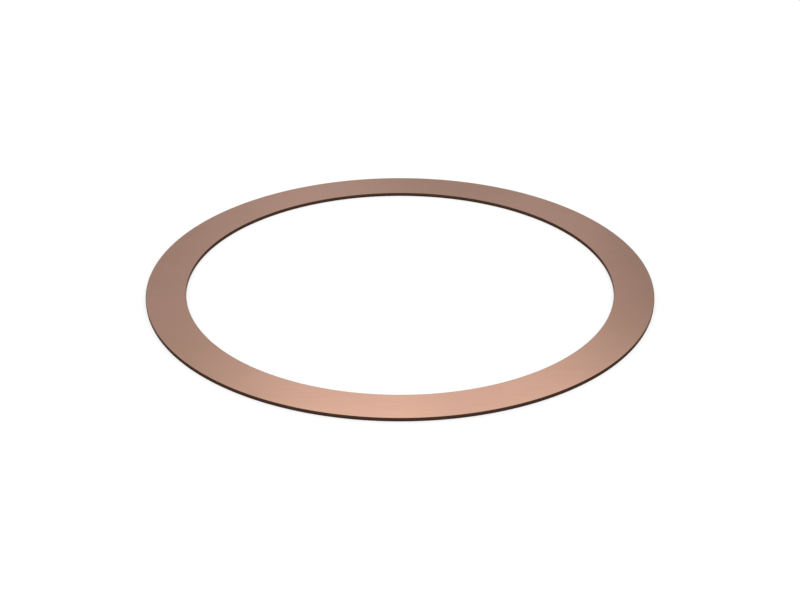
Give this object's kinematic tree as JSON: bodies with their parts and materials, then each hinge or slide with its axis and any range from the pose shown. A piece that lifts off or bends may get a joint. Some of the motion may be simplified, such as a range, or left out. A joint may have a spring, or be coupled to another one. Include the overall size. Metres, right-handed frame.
{
  "type": "pinion shim",
  "caption": "Thin flat bronze ring blanked from strip, placed behind a pinion's bearing cup so that its thickness sets the pinion's depth.",
  "frame": {"origin": "centre of the bore, in the plane of the seat face that the shim lies on", "axes": "+Z along the bore's axis, from the seat face to the cup face"},
  "size_m": [0.0844, 0.0844, 0.0006],
  "materials": {
    "bronze_strip": "satin rolled bronze strip on the faces, with darker sheared walls at the outer edge and the bore"
  },
  "bodies": {
    "root": {"pinion_shim": "bronze_strip"}
  },
  "joints": []
}
